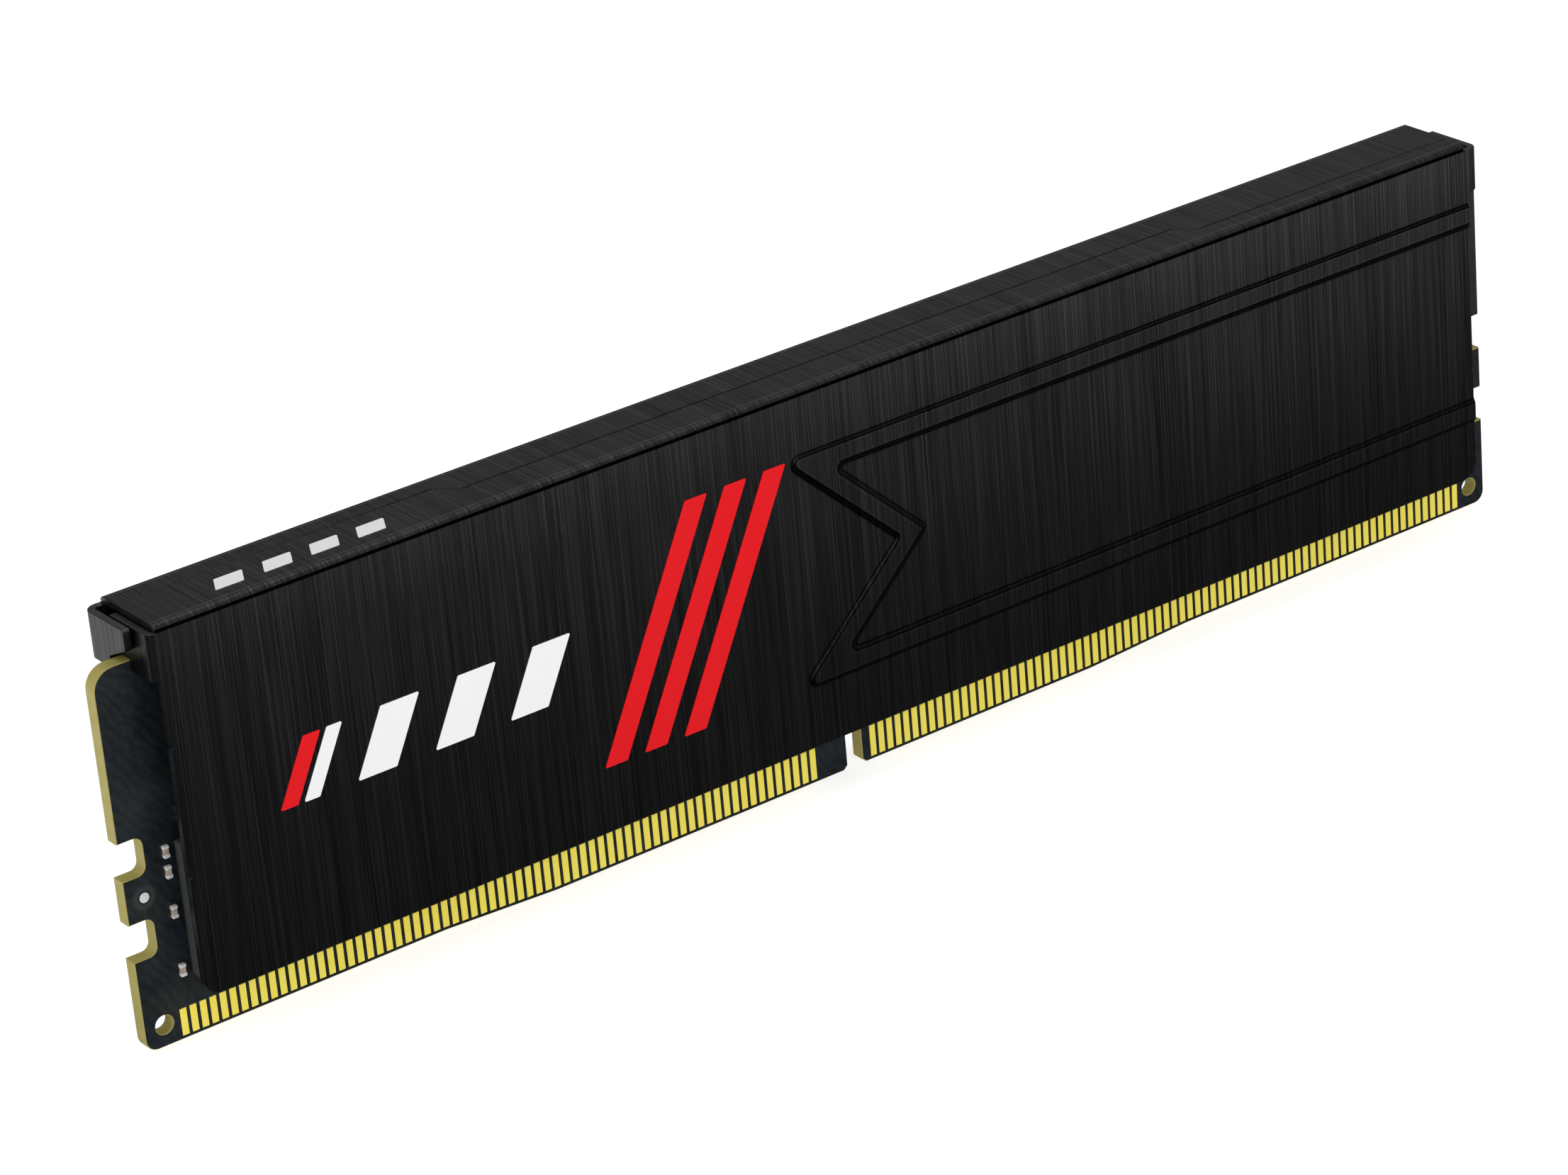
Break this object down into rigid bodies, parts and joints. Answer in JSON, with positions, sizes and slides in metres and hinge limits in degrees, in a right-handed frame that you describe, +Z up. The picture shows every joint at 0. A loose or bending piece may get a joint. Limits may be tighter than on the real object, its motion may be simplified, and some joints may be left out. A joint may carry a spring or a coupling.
{
  "type": "ram module",
  "caption": "Long thin memory module: a circuit board with edge contacts between two black folded-sheet heat spreaders that meet along the top.",
  "frame": {"origin": "middle of the module's length and thickness, at the level of the lowest stretch of the contact edge", "axes": "+X along the length, with the key notch on the -X side of the middle when seen from the chip side; +Y through the thickness, from the chip side to the label side; +Z up from the contact edge to the top flanges"},
  "size_m": [0.1334, 0.0082, 0.0347],
  "materials": {
    "anodised_aluminium": "brushed and black anodised",
    "board_laminate": "blue-black solder mask over glass laminate, bare cut edges",
    "gold_plating": "hard gold plating, satin",
    "thermal_pad": "soft matt silicone",
    "chip_plastic": "moulded epoxy, fine matt",
    "ferrite": "pressed iron powder, matt",
    "ceramic": "fired ceramic with tinned ends",
    "resistor_body": "glazed film on ceramic",
    "tinned_copper": "tinned, satin",
    "red_ink": "flat printed ink",
    "white_ink": "flat printed ink",
    "label_film": "satin silver film"
  },
  "bodies": {
    "root": {"front_heat_spreader": "anodised_aluminium", "rear_heat_spreader": "anodised_aluminium", "circuit_board": "board_laminate", "contacts_front_left": "gold_plating", "contacts_front_right": "gold_plating", "contacts_rear_left": "gold_plating", "contacts_rear_right": "gold_plating", "front_thermal_pad": "thermal_pad", "rear_thermal_pad": "thermal_pad", "memory_chip_1": "chip_plastic", "memory_chip_2": "chip_plastic", "memory_chip_3": "chip_plastic", "memory_chip_4": "chip_plastic", "memory_chip_5": "chip_plastic", "memory_chip_6": "chip_plastic", "memory_chip_7": "chip_plastic", "memory_chip_8": "chip_plastic", "power_chip": "chip_plastic", "hub_chip": "chip_plastic", "power_inductor_1": "ferrite", "power_inductor_2": "ferrite", "power_inductor_3": "ferrite", "input_capacitors": "ceramic", "decoupling_capacitors": "ceramic", "rear_capacitors": "ceramic", "edge_capacitors": "ceramic", "resistor_arrays": "resistor_body", "alignment_pad": "tinned_copper", "front_emblem": "red_ink", "front_mark_red": "red_ink", "rear_emblem": "red_ink", "front_marks_white": "white_ink", "top_marks_white": "white_ink", "rear_label": "label_film"}
  },
  "joints": []
}
